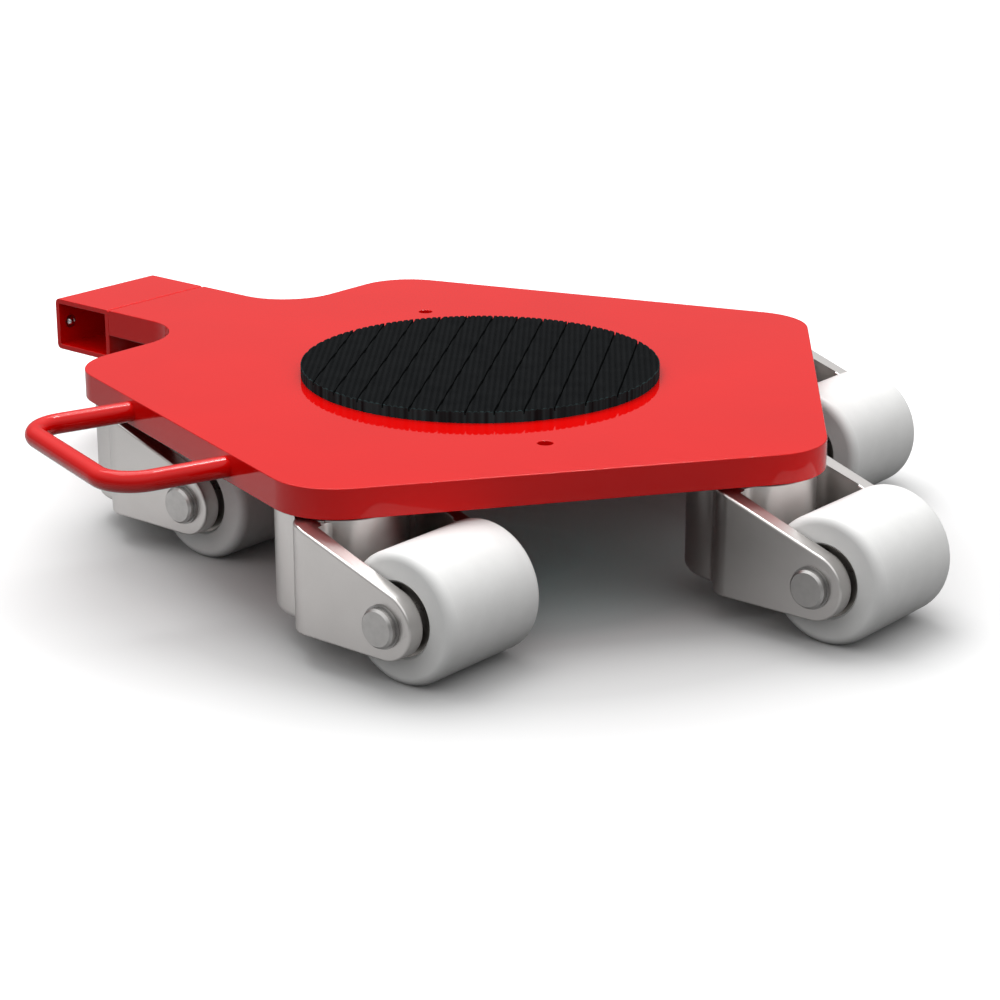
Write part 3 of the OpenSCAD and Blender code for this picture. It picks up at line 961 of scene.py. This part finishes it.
# One spread lights the skate, another is mirrored in its gloss, and the camera sees white
def addSky():
    world = bpy.data.worlds.new("paleSky")
    bpy.context.scene.world = world
    world.use_nodes = True
    tree = world.node_tree
    background = tree.nodes["Background"]
    where = tree.nodes.new("ShaderNodeTexCoord")
    split = tree.nodes.new("ShaderNodeSeparateXYZ")
    tree.links.new(where.outputs["Generated"], split.inputs["Vector"])
    height = split.outputs["Z"]
    lighting = spread(tree, height, studio["skyLow"], studio["skyHigh"], 0, 1)
    (startZ, low), (midZ, mid), (endZ, high) = studio["mirrorSteps"]
    gentle = spread(tree, height, low, mid, startZ, midZ)
    steep = spread(tree, height, 0, high - mid, midZ, endZ)
    mirrored = calculate(tree, "ADD", gentle, steep)
    rays = tree.nodes.new("ShaderNodeLightPath").outputs
    glossy = mix(tree, "FLOAT", rays["Is Glossy Ray"], lighting, mirrored)
    seen = calculate(tree, "MAXIMUM", rays["Is Camera Ray"], rays["Is Transmission Ray"])
    background.inputs["Color"].default_value = (1, 1, 1, 1)
    shown = mix(tree, "FLOAT", seen, glossy, studio["skySeen"])
    tree.links.new(shown, background.inputs["Strength"])


def distanceFrom(tree, place):
    away = addNode(tree, "ShaderNodeVectorMath", operation="DISTANCE")
    away.inputs[1].default_value = place
    tree.links.new(objectPoints(tree), away.inputs[0])
    return away.outputs["Value"]


# To the camera the floor is darkest under the skate: a painted shadow about it, with a painted
# tint against the red bounce. Gloss mirrors a painted reflection, bright to the front left and
# darker beyond, and the bounce is faint.
def addFloor():
    bpy.ops.mesh.primitive_plane_add(size=studio["floorSize"], location=origin)
    floor = bpy.context.object
    floor.name = "studioFloor"
    material, tree, shader = newMaterial("studioFloor")
    rays = tree.nodes.new("ShaderNodeLightPath").outputs
    # painted reflection: a bright patch of floor for the gloss to mirror, fading to darker grey
    mirroredAway = distanceFrom(tree, studio["paintedReflectionPlace"])
    paintedReflectionSpot = spread(tree, mirroredAway, 0, 1, *studio["paintedReflectionFrom"])
    bright, dark = studio["paintedReflectionGreys"]
    mirrored = mixColors(tree, paintedReflectionSpot, (bright,) * 3, (dark,) * 3)
    # painted shadow on the floor, with a painted tint against the red bounce close under the
    # skate
    away = distanceFrom(tree, studio["paintedShadowPlace"])
    inner = spread(tree, away, *studio["paintedShadowInner"])
    outer = spread(tree, away, *studio["paintedShadowOuter"])
    shadowTintMask = spread(tree, away, 0, 1, *studio["paintedShadowTintFrom"])
    shadowTint = mixColors(tree, shadowTintMask, studio["paintedShadowTint"], (1, 1, 1))
    lit = addNode(tree, "ShaderNodeVectorMath", operation="SCALE")
    tree.links.new(shadowTint, lit.inputs["Vector"])
    tree.links.new(calculate(tree, "ADD", inner, outer), lit.inputs["Scale"])
    plain = (*(studio["floorBounce"],) * 3, 1)
    bounced = mix(tree, "RGBA", rays["Is Glossy Ray"], plain, mirrored)
    shown = mix(tree, "RGBA", rays["Is Camera Ray"], bounced, lit.outputs["Vector"])
    tree.links.new(shown, shader.inputs["Base Color"])
    shader.inputs["Roughness"].default_value = studio["floorRoughness"]
    shader.inputs["Specular IOR Level"].default_value = studio["floorSpecular"]
    dress(floor, material)


def addLamp(look):
    bpy.ops.object.light_add(type="AREA", location=look["place"])
    lamp = bpy.context.object
    lamp.data.size = look["size"]
    lamp.data.energy = look["power"]
    lamp.rotation_mode = "QUATERNION"
    lamp.rotation_quaternion = Vector(look["place"]).to_track_quat("Z", "Y")
    return lamp


dropAll()
addSky()
addFloor()
addLamp(studio["lamp"])
glint = addLamp(studio["glint"])
glint.visible_diffuse = False  # seen in the glossy surfaces only
bpy.context.scene.view_settings.view_transform = "Standard"
print("studio lit")
